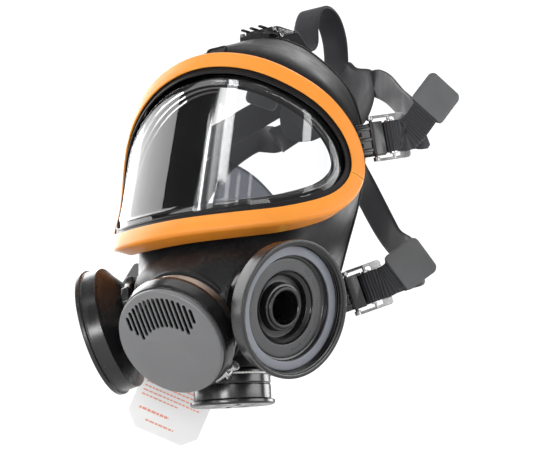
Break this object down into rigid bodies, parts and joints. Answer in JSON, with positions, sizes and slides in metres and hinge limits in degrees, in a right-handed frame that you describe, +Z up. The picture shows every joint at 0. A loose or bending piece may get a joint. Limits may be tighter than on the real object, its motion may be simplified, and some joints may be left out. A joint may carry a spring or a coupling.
{
  "type": "full face respirator",
  "caption": "Full face respirator: rubber facepiece, wide clear lens in an orange clamp ring, threaded cartridge receptacles, speech unit, exhalation valve and buckled rubber head harness.",
  "frame": {"origin": "on the mask's middle plane, in the opening that the face goes into, level with the base of the wearer's nose", "axes": "+Z up the wearer's face, +X to the wearer's left, +Y backwards into the wearer's face, so the lens faces -Y"},
  "size_m": [0.2684, 0.261, 0.3263],
  "materials": {
    "black_plastic": "semi gloss",
    "black_rubber": "matte moulded",
    "clear_lens": "clear polished polycarbonate",
    "grey_plastic": "fine moulded grain",
    "grey_rubber": "matte",
    "orange_plastic": "satin moulded",
    "paper": "plain card",
    "smoke_silicone": "translucent",
    "steel": "bright",
    "strap_rubber": "matte moulded"
  },
  "bodies": {
    "mask": {"lens": "clear_lens", "lens_gasket": "black_rubber", "lens_ring_upper": "orange_plastic", "lens_ring_lower": "orange_plastic", "lens_ring_screw_left": "steel", "lens_ring_screw_right": "steel", "facepiece_body": "black_rubber", "nose_cup": "smoke_silicone", "cartridge_receptacle_left": "black_plastic", "receptacle_gasket_left": "grey_rubber", "receptacle_nut_left": "black_plastic", "inhalation_valve_seat_left": "grey_plastic", "nose_cup_valve_seat_left": "grey_plastic", "cartridge_receptacle_right": "black_plastic", "receptacle_gasket_right": "grey_rubber", "receptacle_nut_right": "black_plastic", "inhalation_valve_seat_right": "grey_plastic", "nose_cup_valve_seat_right": "grey_plastic", "speech_housing": "black_plastic", "speech_diaphragm": "steel", "diaphragm_retaining_ring": "black_plastic", "speech_cover": "grey_plastic", "band_clamp": "steel", "band_clamp_lug": "steel", "band_clamp_screw": "steel", "exhalation_valve_body": "black_plastic", "exhalation_cover": "black_plastic", "top_bracket": "black_plastic", "top_strap": "strap_rubber", "temple_left_bracket": "black_plastic", "temple_left_strap": "strap_rubber", "temple_right_bracket": "black_plastic", "temple_right_strap": "strap_rubber", "cheek_left_bracket": "black_plastic", "cheek_left_strap": "strap_rubber", "cheek_right_bracket": "black_plastic", "cheek_right_strap": "strap_rubber", "harness_pad": "strap_rubber", "service_tag": "paper", "tag_loop": "paper"},
    "inhalation_disc_left": {"inhalation_valve_disc_left": "grey_rubber"},
    "inhalation_disc_right": {"inhalation_valve_disc_right": "grey_rubber"},
    "exhalation_disc": {"exhalation_valve_disc": "grey_rubber"},
    "nose_cup_disc_left": {"nose_cup_valve_disc_left": "grey_rubber"},
    "nose_cup_disc_right": {"nose_cup_valve_disc_right": "grey_rubber"},
    "top_buckle": {"top_buckle_frame": "steel", "top_strap_end": "strap_rubber"},
    "top_roller": {"top_roller": "steel"},
    "temple_left_buckle": {"temple_left_buckle_frame": "steel", "temple_left_strap_end": "strap_rubber"},
    "temple_left_roller": {"temple_left_roller": "steel"},
    "temple_right_buckle": {"temple_right_buckle_frame": "steel", "temple_right_strap_end": "strap_rubber"},
    "temple_right_roller": {"temple_right_roller": "steel"},
    "cheek_left_buckle": {"cheek_left_buckle_frame": "steel", "cheek_left_strap_end": "strap_rubber"},
    "cheek_left_roller": {"cheek_left_roller": "steel"},
    "cheek_right_buckle": {"cheek_right_buckle_frame": "steel", "cheek_right_strap_end": "strap_rubber"},
    "cheek_right_roller": {"cheek_right_roller": "steel"}
  },
  "joints": [
    {"name": "inhalation_disc_left_lift", "type": "slide", "parent": "mask", "child": "inhalation_disc_left", "axis": [-0.923, 0.3, 0.241], "range_m": [0, 0.0015], "stiffness_N_per_m": 20, "springref_m": -0.001},
    {"name": "inhalation_disc_right_lift", "type": "slide", "parent": "mask", "child": "inhalation_disc_right", "axis": [0.923, 0.3, 0.241], "range_m": [0, 0.0015], "stiffness_N_per_m": 20, "springref_m": -0.001},
    {"name": "exhalation_disc_lift", "type": "slide", "parent": "mask", "child": "exhalation_disc", "axis": [0, 0, -1], "range_m": [0, 0.0025], "stiffness_N_per_m": 40, "springref_m": -0.001},
    {"name": "nose_cup_disc_left_lift", "type": "slide", "parent": "mask", "child": "nose_cup_disc_left", "axis": [-0.7995, 0.4297, -0.4197], "range_m": [0, 0.0012], "stiffness_N_per_m": 5, "springref_m": -0.001},
    {"name": "nose_cup_disc_right_lift", "type": "slide", "parent": "mask", "child": "nose_cup_disc_right", "axis": [0.7995, 0.4297, -0.4197], "range_m": [0, 0.0012], "stiffness_N_per_m": 5, "springref_m": -0.001},
    {"name": "top_buckle_swing", "type": "hinge", "parent": "mask", "child": "top_buckle", "pos_m": [0, 0.008, 0.1485], "axis": [1, 0, 0], "range_deg": [-4, 25]},
    {"name": "top_roller_spin", "type": "hinge", "parent": "top_buckle", "child": "top_roller", "pos_m": [0, 0.02093, 0.14981], "axis": [1, 0, 0], "continuous": true},
    {"name": "temple_left_buckle_swing", "type": "hinge", "parent": "mask", "child": "temple_left_buckle", "pos_m": [0.087, -0.002, 0.055], "axis": [0.0249, 0.1945, -0.9806], "range_deg": [-4, 30]},
    {"name": "temple_left_roller_spin", "type": "hinge", "parent": "temple_left_buckle", "child": "temple_left_roller", "pos_m": [0.09514, 0.0079, 0.05717], "axis": [0.0249, 0.1945, -0.9806], "continuous": true},
    {"name": "temple_right_buckle_swing", "type": "hinge", "parent": "mask", "child": "temple_right_buckle", "pos_m": [-0.087, -0.002, 0.055], "axis": [0.0249, -0.1945, 0.9806], "range_deg": [-4, 30]},
    {"name": "temple_right_roller_spin", "type": "hinge", "parent": "temple_right_buckle", "child": "temple_right_roller", "pos_m": [-0.09514, 0.0079, 0.05717], "axis": [0.0249, -0.1945, 0.9806], "continuous": true},
    {"name": "cheek_left_buckle_swing", "type": "hinge", "parent": "mask", "child": "cheek_left_buckle", "pos_m": [0.062, 0.002, -0.043], "axis": [0.1723, 0.2747, -0.946], "range_deg": [-4, 30]},
    {"name": "cheek_left_roller_spin", "type": "hinge", "parent": "cheek_left_buckle", "child": "cheek_left_roller", "pos_m": [0.07292, 0.00799, -0.03927], "axis": [0.1723, 0.2747, -0.946], "continuous": true},
    {"name": "cheek_right_buckle_swing", "type": "hinge", "parent": "mask", "child": "cheek_right_buckle", "pos_m": [-0.062, 0.002, -0.043], "axis": [0.2753, 0.0836, 0.9577], "range_deg": [-4, 30]},
    {"name": "cheek_right_roller_spin", "type": "hinge", "parent": "cheek_right_buckle", "child": "cheek_right_roller", "pos_m": [-0.0744, 0.00396, -0.03961], "axis": [0.2753, 0.0836, 0.9577], "continuous": true}
  ]
}
